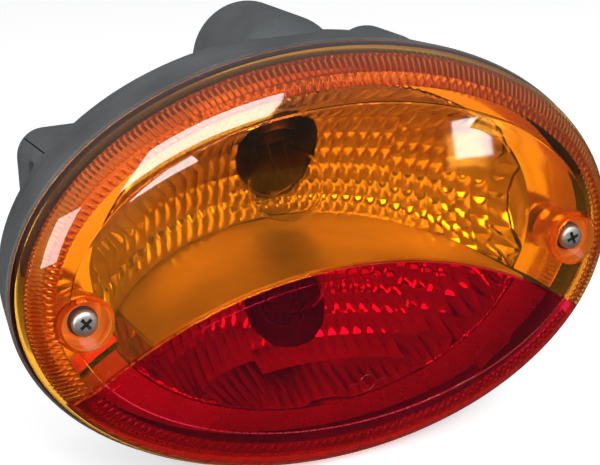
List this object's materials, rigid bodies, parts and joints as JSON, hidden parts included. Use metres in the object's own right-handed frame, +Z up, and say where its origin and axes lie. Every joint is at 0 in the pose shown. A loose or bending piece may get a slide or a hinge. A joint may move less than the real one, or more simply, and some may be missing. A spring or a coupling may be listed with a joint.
{
  "type": "trailer tail light",
  "caption": "Oval surface-mounted trailer tail light with an amber indicator window over an arched red stop and tail window, bayonet bulbs and a screwed-on lens.",
  "frame": {"origin": "midway between the two mounting studs, on the flat mounting face at the back of the casing", "axes": "+Z up, +Y backwards out of the mounting face, so the lens faces -Y, +X to the right of someone looking at the lens"},
  "size_m": [0.2014, 0.0993, 0.1389],
  "materials": {
    "casing": "fine spark-textured moulding, charcoal",
    "gasket": "soft black foam rubber",
    "amber": "clear amber acrylic, polished outside, ribbed inside",
    "red": "clear red acrylic, polished",
    "reflector": "vacuum-plated plastic, faceted",
    "divider": "satin silvered shelf",
    "screw": "zinc-plated, slightly dull",
    "washer": "bonded rubber washer",
    "bulb_glass": "clear glass",
    "bulb_brass": "plain brass shell",
    "insulator": "black glass insulator",
    "solder": "soft solder",
    "filament": "drawn wire",
    "sleeve": "stamped brass, dull",
    "phenolic": "brown laminate",
    "spring": "spring wire",
    "terminal": "tinned brass tab",
    "stud": "zinc-plated",
    "grommet": "moulded black rubber",
    "lead_amber_wire": "soft insulated wire",
    "lead_red_wire": "soft insulated wire"
  },
  "bodies": {
    "housing": {"cable_grommet": "grommet", "chamber_divider": "divider", "housing": "casing", "indicator_contact_spring": "spring", "indicator_socket_cap": "phenolic", "indicator_socket_sleeve": "sleeve", "indicator_terminal": "terminal", "lead_indicator": "lead_amber_wire", "lead_stop": "lead_red_wire", "lens_gasket": "gasket", "mounting_studs": "stud", "reflector_indicator": "reflector", "reflector_stop_tail": "reflector", "stop_tail_contact_spring": "spring", "stop_tail_socket_cap": "phenolic", "stop_tail_socket_sleeve": "sleeve", "stop_tail_terminal": "terminal"},
    "lens": {"lens_amber": "amber", "lens_red": "red"},
    "washer_left": {"screw_washer_left": "washer"},
    "screw_left": {"lens_screw_left": "screw"},
    "washer_right": {"screw_washer_right": "washer"},
    "screw_right": {"lens_screw_right": "screw"},
    "indicator_contact": {"indicator_contact_disc": "phenolic"},
    "indicator_bulb": {"indicator_glass": "bulb_glass", "indicator_base": "bulb_brass", "indicator_insulator": "insulator", "indicator_tips": "solder", "indicator_filament": "filament"},
    "stop_tail_contact": {"stop_tail_contact_disc": "phenolic"},
    "stop_tail_bulb": {"stop_tail_glass": "bulb_glass", "stop_tail_base": "bulb_brass", "stop_tail_insulator": "insulator", "stop_tail_tips": "solder", "stop_tail_filament": "filament"}
  },
  "joints": [
    {"name": "lens_lift", "type": "slide", "parent": "housing", "child": "lens", "axis": [0, -1, 0], "range_m": [0, 0.06]},
    {"name": "screw_left_travel", "type": "slide", "parent": "lens", "child": "washer_left", "axis": [0, -1, 0], "range_m": [0, 0.0182]},
    {"name": "screw_left_turn", "type": "hinge", "parent": "washer_left", "child": "screw_left", "pos_m": [-0.0815, -0.07, -0.0035], "axis": [0, -1, 0], "range_deg": [0, 4680]},
    {"name": "screw_right_travel", "type": "slide", "parent": "lens", "child": "washer_right", "axis": [0, -1, 0], "range_m": [0, 0.0182]},
    {"name": "screw_right_turn", "type": "hinge", "parent": "washer_right", "child": "screw_right", "pos_m": [0.0815, -0.07, -0.0035], "axis": [0, -1, 0], "range_deg": [0, 4680]},
    {"name": "indicator_bulb_push", "type": "slide", "parent": "housing", "child": "indicator_contact", "axis": [0, 0.5299, 0.848], "range_m": [0, 0.002], "stiffness_N_per_m": 400, "springref_m": -0.005, "deforming": ["indicator_contact_spring"]},
    {"name": "indicator_bulb_turn", "type": "hinge", "parent": "indicator_contact", "child": "indicator_bulb", "pos_m": [0, -0.02336, 0.029], "axis": [0, -0.5299, -0.848], "range_deg": [0, 35]},
    {"name": "stop_tail_bulb_push", "type": "slide", "parent": "housing", "child": "stop_tail_contact", "axis": [0, 0.5299, -0.848], "range_m": [0, 0.002], "stiffness_N_per_m": 400, "springref_m": -0.005, "deforming": ["stop_tail_contact_spring"]},
    {"name": "stop_tail_bulb_turn", "type": "hinge", "parent": "stop_tail_contact", "child": "stop_tail_bulb", "pos_m": [0, -0.02433, -0.027], "axis": [0, -0.5299, 0.848], "range_deg": [0, 35]}
  ],
  "couplings": [
    {"joint": "screw_left_turn", "follows": "screw_left_travel", "rad_per_m": 4488},
    {"joint": "screw_right_turn", "follows": "screw_right_travel", "rad_per_m": 4488}
  ]
}
